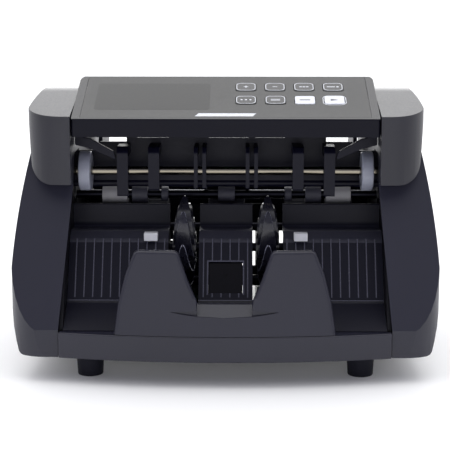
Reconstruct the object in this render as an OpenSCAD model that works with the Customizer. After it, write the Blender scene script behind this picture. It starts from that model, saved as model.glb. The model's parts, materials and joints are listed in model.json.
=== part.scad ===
// Front-loading banknote counter: casing, hopper, feed train, stacker and control head.
// Millimetres, +Z up, +X to the right, front towards -Y, origin on the ground under the middle.
// Heights in the values below are taken from the underside of the casing, foot_h above the ground.

/* [Casing] */
// Front of the bumper to the rear of the fittings
machine_d = 240; // [236:1:300]
// Clear width between the two frame plates
frame_gap = 214.4; // [212:0.2:270]
// Frame plate to the widest point of a side cover
side_depth = 35.8; // [34:0.2:46]
// Ground to the underside of the casing
foot_h = 17; // [12:0.5:24]
// Wall of the moulded covers
cover_wall = 2.5; // [1.8:0.1:3]
// Visible seam between neighbouring covers
seam = 0.4; // [0.2:0.1:0.8]

/* [Frame] */
// Thickness of a frame plate
plate_t = 2.5; // [1.5:0.1:3]
// Thickness of the base pan floor
pan_t = 3; // [2:0.1:4]
// Diameter of the tie bars
tie_d = 8; // [6:0.5:9]

/* [Feed train] */
// Diameter of every steel shaft
shaft_d = 6; // [5:0.1:6.6]
// Radial clearance of a shaft in its bush
run_fit = 0.05; // [0.03:0.01:0.1]
// Radial clearance of a piece pressed or glued on a shaft
press_fit = 0.01; // [0:0.005:0.02]
// Outer diameter of a bush
bush_d = 10; // [9:0.5:12]
// Diameter of the large wheels on the front shaft
front_wheel_d = 26.7; // [22:0.1:27.5]
// Diameter of the transport rollers
transport_d = 12.9; // [10:0.1:13.5]
// Note gap between the feed and transport rollers
note_gap = 0.8; // [0.5:0.1:1.5]
// Diameter of the pick-up rollers
pickup_d = 32; // [26:0.5:34]

/* [Stacker] */
// Tip diameter of the impellers
impeller_d = 72; // [60:0.5:72.8]
// Width of an impeller at its hub
impeller_w = 16; // [12:0.5:18]
// Fingers on one impeller
finger_count = 9; // [6:1:12]
// Distance between the ribs of the stacker face
rib_pitch = 6; // [5:0.5:9]
// Height of the stop wings above the bumper
wing_h = 55; // [40:0.5:58]

/* [Control head] */
// Width of a key
key_w = 13.6; // [10:0.2:15]
// Length of a key up the slope of the panel
key_l = 12.6; // [9:0.2:15]
// Distance between key columns
key_pitch = 20.1; // [17:0.1:21]
// Key travel when pressed
key_travel = 0.8; // [0.4:0.1:1.2]

/* [Hopper] */
// Thickness of the hopper floor
floor_t = 2.5; // [2:0.1:3]
// Inward travel of each note guide
guide_travel = 30; // [15:1:32]

/* [Hidden] */

charcoal = [0.17, 0.17, 0.2];
black = [0.08, 0.08, 0.1];
steel = [0.72, 0.73, 0.75];
rubber = [0.05, 0.05, 0.06];

// Stations along Y, measured from the front of the bumper
front_y = -machine_d / 2;
rear_proud = 1.2;
rear_y = machine_d / 2 - rear_proud;
tray_front_y = front_y + 16.3;
incline_foot = [front_y + 15, 18];
incline_top = [front_y + 60, 110];
pod_front_y = front_y + 45;
head_front_y = front_y + 47;
head_back_y = front_y + 115;
guide_y = front_y + 91;
floor_front_y = front_y + 136;
floor_back_y = rear_y - 6.8;

// Widths from the middle
gap_half = frame_gap / 2;
frame_out = gap_half + plate_t;
machine_half = gap_half + side_depth;
cover_in = frame_out + 0.3;
pod_in = gap_half - 3.8;
head_half = pod_in - 0.6;

// Heights above the underside
bumper_top = 17;
pod_bottom = 110;
pod_edge = 155.8;
pod_top = 171;
side_top = 133;
widest_z = 38;
head_bottom = 142;
head_edge = 154;
head_top = 179;
rear_top = 112;

// Shaft centres as [Y, Z]
front_at = [front_y + 75, 115.8];
transport_at = [front_y + 100, 95.9];
feed_at = [front_y + 120, 69];
impeller_at = [front_y + 80, 61.5];
feed_motor_at = [front_y + 182, 40];
stacker_motor_at = [front_y + 92, 22];
feed_r = norm(transport_at - feed_at) - transport_d / 2 - note_gap;

// Hopper floor: a slope that runs just under the tops of the feed and pick-up rollers
floor_lean = 9.1;
roller_proud = 1.2;
floor_z0 = feed_at[1] + feed_r / cos(floor_lean) - roller_proud;
function floor_z(y) = floor_z0 + (y - feed_at[0]) * tan(floor_lean);
pickup_y = front_y + 164;
pickup_at = [pickup_y, floor_z(pickup_y) + roller_proud - pickup_d / 2 / cos(floor_lean)];
friction_r = 9;
friction_at = [feed_at[0] - 2, feed_at[1] + feed_r + note_gap + friction_r];

// Pulleys stand outside the frame plates
pulley_x = frame_out + 1.3;
pulley_w = 6;
feed_pulley_r = 18;
motor_pulley_r = 9;
link_pulley_r = 10;
impeller_pulley_r = 12;
small_pulley_r = 6;
belt_gap = 0.3;
belt_t = 1.6;

// Impellers and the slots that they turn in
impeller_x = 28.8;
impeller_slot = impeller_w / 2 + 2.5;
finger_sweep = 80;
finger_t = 1.4;
hub_r = 11;

// Stacker face, a plate that leans back from the floor of the pocket
face_foot = [front_y + 43.5, 33];
face_head = [front_y + 62.5, 70];
face_lean = atan2(face_head[1] - face_foot[1], face_head[0] - face_foot[0]);
face_len = norm(face_head - face_foot);
tray_t = 2.5;
tray_half = gap_half - 0.3;
ledge_z = 75;
wall_top = 91;

// Stacker stop: the wings lean back, and a crease curves under them
wing_lean = 8.3;
wing_t = 4;
wing_top = bumper_top + wing_h;
scoop_half = 17.8;
crease_low = bumper_top + 12.3;
crease_half = 35.3;
crease_sag = 3.6;
crease_r = (pow(crease_half, 2) + pow(crease_sag, 2)) / 2 / crease_sag;
rib_w = 0.8;
rib_h = 0.8;
window_half = 11.7;
window_s = [3.5, 25.5];
lens_x = 46.5;
lens_w = 9.3;

// Panel plane of the head
panel_lean = atan2(head_top - head_edge, head_back_y - head_front_y);
panel_len = norm([head_top - head_edge, head_back_y - head_front_y]);
membrane_t = 1;
membrane_half = head_half - 5.6;
membrane_s = [3, panel_len - 4.5];
key_first_x = 13.6;
key_rows = [51.1, 29.8];
key_fit = 0.35;
key_h = 4;
key_proud = 0.4;
hinge_at = [head_back_y - 5, 150];
hinge_d = 5;

// Rear fittings, on the rear cover
inlet_at = [-78, 28];
inlet_size = [27.4, 20];
rocker_at = [-42, 28];
rocker_size = [13, 19];
handle_half = 52;
handle_z = 92;
handle_d = 8;
handle_drop = 24;
handle_recess = [122, 38, 13];
post_x = gap_half - 10;
foot_x = 91;
foot_inset = 35;
foot_d = 19;
screw_d = 3;
screw_head = 6.4;

// ---- shared shapes ----

function unit(v) = v / norm(v);

// One round corner of an outline, as points on its arc
function corner(before, at, after, r, n) =
    let (a = unit(before - at), b = unit(after - at), half = acos(a * b) / 2)
    let (centre = at + unit(a + b) * r / sin(half))
    let (s = at + a * r / tan(half) - centre, e = at + b * r / tan(half) - centre)
    let (start = atan2(s[1], s[0]), turn = atan2(s[0] * e[1] - s[1] * e[0], s * e))
    [for (i = [0:n]) centre + r * [cos(start + turn * i / n), sin(start + turn * i / n)]];

// Outline through corner points [x, y, radius]
function rounded(points, n = 6) =
    let (q = len(points))
    [for (i = [0:q - 1])
        let (p = points[(i + q - 1) % q], c = points[i], f = points[(i + 1) % q])
        each c[2] > 0
            ? corner([p[0], p[1]], [c[0], c[1]], [f[0], f[1]], c[2], n)
            : [[c[0], c[1]]]];

// Loop round two pulleys at a and b
function belt_loop(a, ra, b, rb, n = 24) =
    let (d = b - a, base = atan2(d[1], d[0]), lean = acos((ra - rb) / norm(d)))
    concat(
        [for (i = [0:n]) let (t = base + lean + (360 - 2 * lean) * i / n) a + ra * [cos(t), sin(t)]],
        [for (i = [0:n]) let (t = base - lean + 2 * lean * i / n) b + rb * [cos(t), sin(t)]]);

module lift() {
    translate([0, 0, foot_h]) children();
}

// An outline drawn in Y and Z, run along X
module along_x(x0, x1) {
    translate([x0, 0, 0]) rotate([90, 0, 90]) linear_extrude(x1 - x0) children();
}

// An outline drawn in X and Z, run along Y
module along_y(y0, y1) {
    translate([0, y1, 0]) rotate([90, 0, 0]) linear_extrude(y1 - y0) children();
}

module rod_x(at, d, x0, x1) {
    translate([x0, at[0], at[1]]) rotate([0, 90, 0]) cylinder(d = d, h = x1 - x0, $fn = 64);
}

module rod_y(x, z, d, y0, y1) {
    translate([x, y1, z]) rotate([90, 0, 0]) cylinder(d = d, h = y1 - y0, $fn = 48);
}

module block(x, y, z) {
    translate([x[0], y[0], z[0]]) cube([x[1] - x[0], y[1] - y[0], z[1] - z[0]]);
}

module both_sides() {
    children();
    mirror([1, 0, 0]) children();
}

// Local frame of the stacker face: Y runs up the face, Z out of it
module on_face() {
    translate([0, face_foot[0], face_foot[1]]) rotate([face_lean, 0, 0]) children();
}

// Local frame of the control panel: Y runs up the slope, Z out of it
module on_panel() {
    translate([0, head_front_y, head_edge]) rotate([panel_lean, 0, 0]) children();
}

// Local frame of the hopper floor: Y runs up the slope, Z out of it
module on_floor() {
    translate([0, floor_front_y, floor_z(floor_front_y)]) rotate([floor_lean, 0, 0]) children();
}

// ---- side covers ----

// Half width of a side cover at a height: fullest low down, drawn in above and below
function side_x(z) = machine_half - (z > widest_z ? 0.00117 : 0.0045) * pow(z - widest_z, 2);

module side_form(inset) {
    inner = inset > 0 ? gap_half - 20 : pod_in - 1;
    top = side_top + inset * 2;
    intersection() {
        translate([0, 0, inset]) linear_extrude(top - inset) polygon(rounded([
            [inner, incline_foot[0] - 1 + inset, 0],
            [machine_half - inset, incline_foot[0] - 1 + inset, 24 - inset],
            [machine_half - inset, rear_y - inset, 20 - inset],
            [inner, rear_y - inset, 0]], 8));
        along_y(front_y, machine_d / 2) polygon(concat(
            inset > 0 ? [[inner, top], [inner, inset]]
                : [[pod_in, top], [pod_in, pod_bottom], [cover_in, bumper_top], [cover_in, 0]],
            [for (i = [0:3]) [side_x(4) - 4 + 4 * sin(i * 30) - inset, 4 - 4 * cos(i * 30) + inset]],
            [for (z = [9 : (top - 9) / 15 : top + 0.01]) [side_x(z) - inset, z]]));
        along_x(0, machine_half) polygon([
            [incline_foot[0] - 1 + inset, inset],
            [incline_foot[0] + inset * 1.112, incline_foot[1]],
            [incline_top[0] + inset * 1.112, incline_top[1]],
            [incline_top[0] + inset * 1.112 + (top - pod_bottom) * 45 / 92, top],
            [rear_y - inset, top],
            [rear_y - inset, inset]]);
    }
}

// Solid shape of an upper cover, with its lower outer edge and its shoulder rounded
module pod_form(inset) {
    out = machine_half - 9.8;
    intersection() {
        translate([0, 0, pod_bottom + inset]) linear_extrude(pod_top - pod_bottom) polygon(rounded([
            [pod_in + inset, pod_front_y + inset, 0],
            [out + 0.6 - inset, pod_front_y + inset, 24 - inset],
            [out + 0.6 - inset, rear_y - inset, 20 - inset],
            [pod_in + inset, rear_y - inset, 0]], 8));
        along_y(front_y, machine_d / 2) polygon(rounded([
            [pod_in + inset, pod_bottom + inset, 0],
            [out - 3 - inset, pod_bottom + inset, 15 - inset],
            [out + 0.6 - inset, pod_edge - inset, 0],
            [out - 0.4 - inset, pod_top + 4 - inset, 17 - inset],
            [pod_in + inset, pod_top + 4 - inset, 0]], 8));
        along_x(0, machine_half) polygon(rounded([
            [pod_front_y + inset, pod_bottom + inset, 0],
            [pod_front_y + inset, pod_edge - inset, 0],
            [head_back_y - 4, pod_top - 1.2 - inset, 60],
            [rear_y - 40, pod_top - 6 - inset, 60],
            [rear_y - inset, pod_top - 24 - inset, 16 - inset],
            [rear_y - inset, pod_bottom + inset, 0]], 8));
    }
}

module side_cover() {
    difference() {
        side_form(0);
        side_form(cover_wall);
        // Rear wall squared off beside the rear cover
        block([pod_in - 2, cover_in], [incline_top[0], rear_y + 1], [-1, side_top + 1]);
        // Seat of the upper cover, with a seam all round
        for (d = [[0, -seam], [seam, 0], [seam, seam]]) translate([d[0], d[1], -seam]) pod_form(0);
        block([0, machine_half - 22], [pod_front_y, rear_y + 1], [pod_bottom - seam, side_top + 9]);
        // Cooling slots low in the flank
        for (i = [0:9])
            block([machine_half - 20, machine_half + 1], [30 + i * 7, 33 + i * 7], [16, 44]);
    }
}

module side_cover_right() {
    lift() color(charcoal) side_cover();
}

module side_cover_left() {
    lift() color(charcoal) mirror([1, 0, 0]) side_cover();
}

module upper_cover() {
    difference() {
        pod_form(0);
        pod_form(cover_wall);
        // Open underside behind the overhang, where the frame plate stands
        block([pod_in + cover_wall, machine_half - 22 - cover_wall],
            [incline_top[0] + 2.2, rear_y - 6], [pod_bottom - 1, pod_bottom + 5]);
        rod_x(hinge_at, hinge_d + 2 * press_fit, pod_in - 1, pod_in + cover_wall + 1);
        // Cut-out of the inner wall for the front shaft and the guide plate
        block([pod_in - 1, pod_in + cover_wall + 0.2], [front_at[0] - 7, guide_y + guide_t + 0.5],
            [pod_bottom - 1, guide_top - 5]);
    }
}

module upper_cover_right() {
    lift() color(charcoal) upper_cover();
}

module upper_cover_left() {
    lift() color(charcoal) mirror([1, 0, 0]) upper_cover();
}

// ---- base and front ----

bumper_sag = 12;
bumper_r = (pow(cover_in, 2) + pow(bumper_sag, 2)) / 2 / bumper_sag;

// Region behind the bowed front line, set back by an amount
module bowed_front(back) {
    intersection() {
        translate([0, front_y + bumper_r]) circle(r = bumper_r - back, $fn = 360);
        translate([-cover_in - 1, front_y]) square([2 * cover_in + 2, 40]);
    }
}

module front_bumper() {
    lift() color(charcoal) difference() {
        linear_extrude(bumper_top) intersection() {
            bowed_front(0);
            translate([-cover_in + seam, front_y]) square([2 * (cover_in - seam), tray_front_y - front_y]);
        }
        translate([0, 0, -1]) linear_extrude(bumper_top - 1.5) intersection() {
            bowed_front(cover_wall);
            translate([-cover_in + 4, front_y]) square([2 * (cover_in - 4), 40]);
        }
    }
}

module foot_places() {
    for (x = [-foot_x, foot_x], y = [front_y + foot_inset, machine_d / 2 - foot_inset + 5])
        translate([x, y, 0]) children();
}

module base_pan() {
    lift() color(black) difference() {
        union() {
            block([-frame_out, frame_out], [tray_front_y + seam, rear_y - cover_wall - 0.3], [0, pan_t]);
            // Rear posts carry the rear cover and the back of the hopper floor
            both_sides() block([post_x - 5, post_x + 5],
                [rear_y - cover_wall - 12.3, rear_y - cover_wall - 0.3],
                [pan_t - 1, min(floor_z(rear_y - 15) - floor_t, rear_top - 2.5) - 0.7]);
            // Standoffs of the main board
            for (x = [-40, 40], y = [16, 76])
                translate([x, y, pan_t - 1]) cylinder(d = 7, h = board_z - pan_t + 1, $fn = 32);
            foot_places() cylinder(d = 12, h = pan_t + 6, $fn = 32);
        }
        foot_places() translate([0, 0, -1]) cylinder(d = screw_d + 2 * run_fit, h = pan_t + 9, $fn = 32);
        for (x = [-post_x, post_x], z = [12, 84])
            rod_y(x, z, screw_d + 2 * run_fit, rear_y - 12, rear_y);
        for (i = [-4:4]) block([i * 9 - 1.5, i * 9 + 1.5], [-50, -20], [-1, pan_t + 1]);
    }
}
board_z = 11;

module foot() {
    difference() {
        cylinder(d1 = foot_d - 2, d2 = foot_d, h = foot_h, $fn = 48);
        translate([0, 0, -1]) cylinder(d = screw_head + 1, h = foot_h - 6 + 1, $fn = 32);
        cylinder(d = screw_d + 2 * run_fit, h = foot_h + 1, $fn = 32);
    }
}

module rubber_feet() {
    color(rubber) foot_places() foot();
}

// Pan-head screw with its head at the origin and its shank up along Z
module screw(length) {
    difference() {
        union() {
            translate([0, 0, -1.2]) cylinder(d = screw_head, h = 1.2, $fn = 32);
            cylinder(d = screw_d, h = length, $fn = 32);
        }
        for (a = [0, 90]) rotate(a) translate([-2, -0.4, -1.3]) cube([4, 0.8, 0.8]);
    }
}

module case_screws() {
    color(steel) {
        foot_places() translate([0, 0, foot_h - 6]) screw(12);
        for (x = [-post_x, post_x], z = [12, 84])
            translate([x, rear_y, foot_h + z]) rotate([90, 0, 0]) screw(10);
    }
}

// ---- stacker ----

module stacker_tray() {
    lift() color(black) difference() {
        union() {
            along_x(-tray_half, tray_half) polygon(rounded([
                [tray_front_y + seam, 14.9, 0],
                [tray_front_y + seam, 17.4, 0],
                [face_foot[0] - 2, face_foot[1] - 2, 5],
                [face_head[0], face_head[1], 8],
                [face_head[0] + 8, ledge_z, 6],
                [front_y + 86, ledge_z, 4],
                [front_y + 87, wall_top, 1],
                [front_y + 89.5, wall_top, 1],
                [front_y + 89.5, ledge_z - tray_t, 3],
                [face_head[0] + 9, ledge_z - tray_t, 4],
                [face_head[0] + 2.3, face_head[1] - 1.2, 6],
                [face_foot[0] + 0.5, face_foot[1] - 4, 3]]));
            on_face() for (x = rib_places()) translate([x - rib_w / 2, 0.5, -1])
                cube([rib_w, face_len, 1 + rib_h]);
            on_face() window_frame();
        }
        // Slots of the impellers
        both_sides() block([impeller_x - impeller_slot, impeller_x + impeller_slot],
            [front_y + 20, front_y + 90], [30, wall_top + 1]);
        // Opening of the sensor window, and the smooth panel round it
        on_face() block([-window_half, window_half], [window_s[0], window_s[1]], [-5, 5]);
        // Pockets of the two lenses
        both_sides() translate([lens_x - 0.2, 0, 0]) lens_shape(0.2);
    }
}

// Ribs stand on the outer fields and in the middle, clear of the slots
function rib_places() =
    let (first = impeller_x + impeller_slot + 2.5, last = tray_half - 1.5)
    let (outer = [for (x = [first : rib_pitch : last]) x])
    concat(outer, [for (x = outer) -x], [-15, -9, -3, 3, 9, 15]);

module window_frame() {
    difference() {
        block([-window_half - 1, window_half + 1], [window_s[0] - 1.2, window_s[1] + 1], [-1, 1]);
        block([-window_half, window_half], [window_s[0] - 2, window_s[1]], [-2, 2]);
    }
}

module sensor_window() {
    lift() color([0.1, 0.05, 0.08]) on_face() difference() {
        block([-window_half + 0.3, window_half - 0.3], [window_s[0] + 0.3, window_s[1] - 0.3], [-2.4, -0.9]);
        // Small round emitter recess
        translate([0, 16, -1.3]) cylinder(d = 2, h = 1, $fn = 24);
    }
}

module lens_shape(grow) {
    block([0, lens_w + 2 * grow], [face_head[0] - 4 - grow, face_head[0] + 3 + grow],
        [ledge_z - 5.5 - grow, ledge_z + 2 * grow]);
}

module sensor_lenses() {
    lift() color("white") both_sides() translate([lens_x, 0, 0]) lens_shape(0);
}

// One wing, from the middle of the stop out to its flank
function wing_outline() = rounded([
    [0, bumper_top + 0.3, 0],
    [72.5, bumper_top + 0.3, 0],
    [69.6, bumper_top + wing_h * 0.37, 40],
    [65, bumper_top + wing_h * 0.71, 40],
    [58.6, wing_top, 4],
    [30.6, wing_top, 4],
    [23.9, bumper_top + wing_h * 0.65, 60],
    [scoop_half, bumper_top + wing_h * 0.4, 3],
    [scoop_half + 0.5, crease_z(scoop_half), 0],
    [0, crease_low, 0]]);

// Height of the crease that curves under both wings
function crease_z(x) = crease_low + crease_r - sqrt(crease_r * crease_r - x * x);

module crease() {
    difference() {
        polygon(concat(
            [for (i = [-8:8]) let (x = i * crease_half / 8) [x, crease_z(x)]],
            [[scoop_half, crease_low + 4.8], [-scoop_half, crease_low + 4.8]]));
        translate([-scoop_half, crease_low - 1]) square([2 * scoop_half, 8]);
    }
}

module stacker_stop() {
    lift() color(charcoal) difference() {
        union() {
            // Two wings cut from one bowed wall that leans back
            intersection() {
                translate([0, front_y + 0.6, bumper_top]) rotate([-wing_lean, 0, 0])
                    translate([0, -front_y, -8]) linear_extrude(wing_h + 14) difference() {
                        bowed_front(0);
                        bowed_front(wing_t);
                    }
                along_y(front_y - 1, front_y + 40) both_sides() polygon(wing_outline());
            }
            // Skirt that stands on the pocket floor
            along_x(-36, 36) polygon([
                [front_y + 3, bumper_top + 0.3], [front_y + 15.7, bumper_top + 0.3],
                [front_y + 15.7, bumper_top + 9], [front_y + 4.5, bumper_top + 9]]);
            // Scoop between the wings
            along_x(-scoop_half - 0.4, scoop_half + 0.4) polygon([
                [front_y + 3, bumper_top + 0.3], [front_y + 15.7, bumper_top + 0.3],
                [front_y + 15.7, bumper_top + 19.3], [front_y + 12, bumper_top + 19.3],
                [front_y + 3.2, crease_low]]);
        }
        along_y(front_y - 1, front_y + 5) crease();
    }
}

// ---- frame ----

module frame_plate() {
    bore = bush_d + 2 * press_fit;
    difference() {
        along_x(gap_half, frame_out) polygon(rounded([
            [incline_foot[0] + 4.6, pan_t, 0],
            [incline_foot[0] + 4.6, incline_foot[1], 0],
            [incline_top[0] + 3.6, incline_top[1], 0],
            [incline_top[0] + 4.6, 128, 4],
            [front_y + 104, 128, 8],
            [front_y + 146, 112, 12],
            [front_y + 202, 92, 8],
            [front_y + 202, pan_t, 0]]));
        for (at = [front_at, transport_at, feed_at, pickup_at, impeller_at])
            rod_x(at, bore, gap_half - 1, frame_out + 1);
        for (at = tie_places) rod_x(at, 4.1, gap_half - 1, frame_out + 1);
    }
}
tie_places = [[front_y + 54, 18], [front_y + 144, 24], [front_y + 192, 78]];

module frame_plate_right() {
    lift() color(black) difference() {
        frame_plate();
        rod_x(feed_motor_at, 14, gap_half - 1, frame_out + 1);
    }
}

module frame_plate_left() {
    lift() color(black) mirror([1, 0, 0]) difference() {
        frame_plate();
        rod_x(stacker_motor_at, 12, gap_half - 1, frame_out + 1);
    }
}

// Tie bars butt between the plates, with a spigot through each
module tie_bars() {
    lift() color(steel) for (at = tie_places) {
        rod_x(at, tie_d, -gap_half, gap_half);
        rod_x(at, 4, -frame_out, frame_out);
    }
}

module bush(at) {
    difference() {
        union() {
            rod_x(at, bush_d, gap_half - 0.5, frame_out);
            rod_x(at, bush_d + 3, gap_half - 1.3, gap_half);
        }
        rod_x(at, shaft_d + 2 * run_fit, gap_half - 2, frame_out + 1);
    }
}

module shaft_bushes() {
    lift() color("ivory") both_sides() for (at = [front_at, transport_at, feed_at, pickup_at, impeller_at])
        bush(at);
}

// Front guide plate: a hanging wall with arms that reach over the front shaft
arm_x = [-70.7, -49.3, -20.6, -14.8, 14.8, 20.6, 49.3, 70.7];
arm_w = [7.6, 7.6, 2.6, 2.6, 2.6, 2.6, 7.6, 7.6];
arm_low = [99, 103, 104, 104, 104, 104, 103, 99];
arm_front = front_at[0] - 7.5;
arm_t = 3;
guide_t = 2.5;
guide_top = 134;
raised_half = 69.5;
raised_top = 139;
knob_y = front_y + 130;

module guide_plate() {
    half = gap_half - 0.3;
    lift() color(black) difference() {
        union() {
            block([-half, half], [guide_y, guide_y + guide_t], [104, guide_top - 6]);
            block([-half + 19, half - 19], [guide_y, guide_y + guide_t], [127, guide_top]);
            block([-raised_half, raised_half], [guide_y, guide_y + guide_t], [133, raised_top]);
            rod_x([guide_y + 1.3, 104.8], 5, -half, half);
            for (i = [0:len(arm_x) - 1]) arm(arm_x[i], arm_w[i], arm_low[i]);
            // Bracket of the thickness screw, over the friction roller
            block([-9, 9], [guide_y, knob_y + 8], [122, 127]);
            for (x = [-14.8, 14.8]) friction_arm(x);
        }
        rod_x(friction_at, 5 + 2 * press_fit, -17, 17);
        translate([0, knob_y, 120]) cylinder(d = 4 + 2 * run_fit, h = 9, $fn = 32);
        // Low stretches in the raised wall
        for (x = [[-62, -40], [-12, 16], [20, 41]]) block(x, [guide_y - 1, guide_y + 4], [raised_top - 2.15, 142]);
    }
}

module arm(x, w, low) {
    along_x(x - w / 2, x + w / 2) polygon(rounded([
        [arm_front, low, arm_t / 2 - 0.1],
        [arm_front + arm_t, low, arm_t / 2 - 0.1],
        [arm_front + arm_t, 126, 4],
        [guide_y + 0.5, 126, 0],
        [guide_y + 0.5, guide_top - 1, 0],
        [arm_front + 3, guide_top - 1, 3],
        [arm_front, guide_top - 5, 3]]));
}

module friction_arm(x) {
    along_x(x - 1.3, x + 1.3) polygon(rounded([
        [guide_y + 1, 100.8, 0], [friction_at[0] + 6, 100.8, 4],
        [friction_at[0] + 6, friction_at[1] + 6, 5], [guide_y + 1, 122, 0]]));
}

module guide_levers() {
    lift() color(black) both_sides() along_y(arm_front, arm_front + arm_t) polygon(rounded([
        [74.8, 124, 1], [76.5, 130, 2], [92, 138.6, 2], [pod_in - 0.6, 141, 1],
        [pod_in - 0.6, 134.5, 1], [93, 132, 2]]));
}

module friction_roller() {
    lift() color(rubber) {
        rod_x(friction_at, 2 * friction_r, -11, 11);
        rod_x(friction_at, 5, -16.4, 16.4);
    }
}

// ---- shafts, rollers and drive ----

module roller(at, d, x0, x1) {
    difference() {
        rod_x(at, d, x0, x1);
        rod_x(at, shaft_d + 2 * press_fit, x0 - 1, x1 + 1);
    }
}

module rollers(at, d, spans) {
    for (s = spans) roller(at, d, s[0], s[1]);
}

function mirrored(spans) = concat(spans, [for (s = spans) [-s[1], -s[0]]]);

short_end = frame_out + 1;
long_end = pulley_x + pulley_w + 0.5;

module front_shaft() {
    lift() color(steel) rod_x(front_at, shaft_d, -short_end, short_end);
}

module front_wheels() {
    lift() color([0.5, 0.51, 0.55]) rollers(front_at, front_wheel_d,
        mirrored([[gap_half - 14.7, gap_half - 6.7]]));
}

module transport_shaft() {
    lift() color(steel) rod_x(transport_at, shaft_d, -short_end, short_end);
}

module transport_rollers() {
    lift() color("gainsboro") {
        rollers(transport_at, transport_d, mirrored([[55.5, 66.7], [gap_half - 37.4, gap_half - 19.7]]));
        rollers(transport_at, transport_d - 2.4, concat([[-6, 6]], mirrored([[41, 46]])));
    }
}

module feed_shaft() {
    lift() color(steel) rod_x(feed_at, shaft_d, -long_end, long_end);
}

module feed_rollers() {
    lift() color(rubber) rollers(feed_at, 2 * feed_r, concat([[-13, 13]],
        mirrored([[42, 66], [gap_half - 36, gap_half - 18]])));
}

module pickup_shaft() {
    lift() color(steel) rod_x(pickup_at, shaft_d, -long_end, short_end);
}

pickup_x = [30, 44];

module pickup_rollers() {
    lift() color(rubber) difference() {
        rollers(pickup_at, pickup_d, mirrored([pickup_x]));
        // Flat that lets the pack settle between strokes
        both_sides() block([pickup_x[0] - 1, pickup_x[1] + 1], [pickup_y - 20, pickup_y + 20],
            [pickup_at[1] - pickup_d, pickup_at[1] - pickup_d / 2 + 2.5]);
    }
}

module impeller_shaft() {
    lift() color(steel) rod_x(impeller_at, shaft_d, -long_end, short_end);
}

// One curved finger, as an outline about the shaft; its tip trails
function finger_turn(f) = finger_sweep * (0.45 - pow(f, 1.3));
function finger_point(r, f, side) =
    let (a = finger_turn(f) + side * finger_t / 2 / r * 180 / PI)
    r * [cos(a), sin(a)];
function finger_outline(r0, r1, n = 8) = concat(
    [for (i = [0:n]) finger_point(r0 + (r1 - r0) * i / n, i / n, -1)],
    [for (i = [n:-1:0]) finger_point(r0 + (r1 - r0) * i / n, i / n, 1)]);

// Chord of a leaf, from its root in the hub to its tip
leaf_root = (hub_r - 2) * [cos(finger_turn(0)), sin(finger_turn(0))];
leaf_tip = impeller_d / 2 * [cos(finger_turn(1)), sin(finger_turn(1))];
leaf_lean = atan2(leaf_tip[1] - leaf_root[1], leaf_tip[0] - leaf_root[0]);

// A leaf seen square on, narrowing to a round tip
function leaf_outline(n = 8) =
    let (half = impeller_w / 2 - 0.7, tip = leaf_tip * unit(leaf_tip - leaf_root) + 0.3)
    [for (i = [-n:n]) [half * i / n, tip * (1 - i * i / n / n)]];

module finger() {
    half = impeller_w / 2 - 0.1;
    r = impeller_d / 2;
    intersection() {
        along_x(-half, half) polygon(finger_outline(hub_r - 2, r));
        rotate([leaf_lean, 0, 0]) translate([0, 0, -r]) linear_extrude(2 * r) polygon(leaf_outline());
    }
}

module impeller() {
    half = impeller_w / 2;
    translate([0, impeller_at[0], impeller_at[1]]) difference() {
        union() {
            rod_x([0, 0], 2 * hub_r, -half, half);
            for (k = [0:finger_count - 1]) rotate([k * 360 / finger_count + 12, 0, 0]) finger();
        }
        rod_x([0, 0], shaft_d + 2 * press_fit, -half - 1, half + 1);
    }
}

module impellers() {
    lift() color([0.2, 0.2, 0.26]) for (x = [-impeller_x, impeller_x]) translate([x, 0, 0]) impeller();
}

// Flanged pulley between x0 and x0 + pulley_w
module pulley(at, r, x0) {
    difference() {
        union() {
            rod_x(at, 2 * r, x0, x0 + pulley_w);
            rod_x(at, 2 * r + 4, x0, x0 + 0.8);
            rod_x(at, 2 * r + 4, x0 + pulley_w - 0.8, x0 + pulley_w);
        }
        rod_x(at, shaft_d + 2 * press_fit, x0 - 1, x0 + pulley_w + 1);
    }
}

left_pulley_x = -pulley_x - pulley_w;

module feed_pulleys() {
    lift() color("dimgray") {
        pulley(feed_at, feed_pulley_r, pulley_x);
        pulley(feed_at, link_pulley_r, left_pulley_x);
    }
}

module pickup_pulley() {
    lift() color("dimgray") pulley(pickup_at, link_pulley_r, left_pulley_x);
}

module impeller_pulley() {
    lift() color("dimgray") pulley(impeller_at, impeller_pulley_r, left_pulley_x);
}

// Motor shaft with its pulley; the shaft runs into the motor's nose
module feed_motor_pulley() {
    lift() color("dimgray") {
        pulley(feed_motor_at, motor_pulley_r, pulley_x);
        rod_x(feed_motor_at, shaft_d, gap_half - 12, long_end);
    }
}

module stacker_motor_pulley() {
    lift() color("dimgray") {
        pulley(stacker_motor_at, small_pulley_r, left_pulley_x);
        rod_x(stacker_motor_at, shaft_d, -long_end, -gap_half + 12);
    }
}

module motor(at, d, length) {
    difference() {
        union() {
            rod_x(at, d, gap_half - length, gap_half);
            rod_x(at, 11.5, gap_half - length - 3, frame_out - 0.5);
        }
        rod_x(at, shaft_d + 2 * run_fit, gap_half - 12.5, frame_out + 1);
    }
}

module feed_motor() {
    lift() color("silver") motor(feed_motor_at, 42, 46);
}

module stacker_motor() {
    lift() color("silver") mirror([1, 0, 0]) motor(stacker_motor_at, 30, 38);
}

module belt(a, ra, b, rb, x0) {
    along_x(x0 + 1.2, x0 + pulley_w - 1.2) difference() {
        polygon(belt_loop(a, ra + belt_gap + belt_t, b, rb + belt_gap + belt_t));
        polygon(belt_loop(a, ra + belt_gap, b, rb + belt_gap));
    }
}

module drive_belts() {
    lift() color(rubber) {
        belt(feed_at, feed_pulley_r, feed_motor_at, motor_pulley_r, pulley_x);
        belt(feed_at, link_pulley_r, pickup_at, link_pulley_r, left_pulley_x);
        belt(impeller_at, impeller_pulley_r, stacker_motor_at, small_pulley_r, left_pulley_x);
    }
}

// ---- electronics ----

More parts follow.
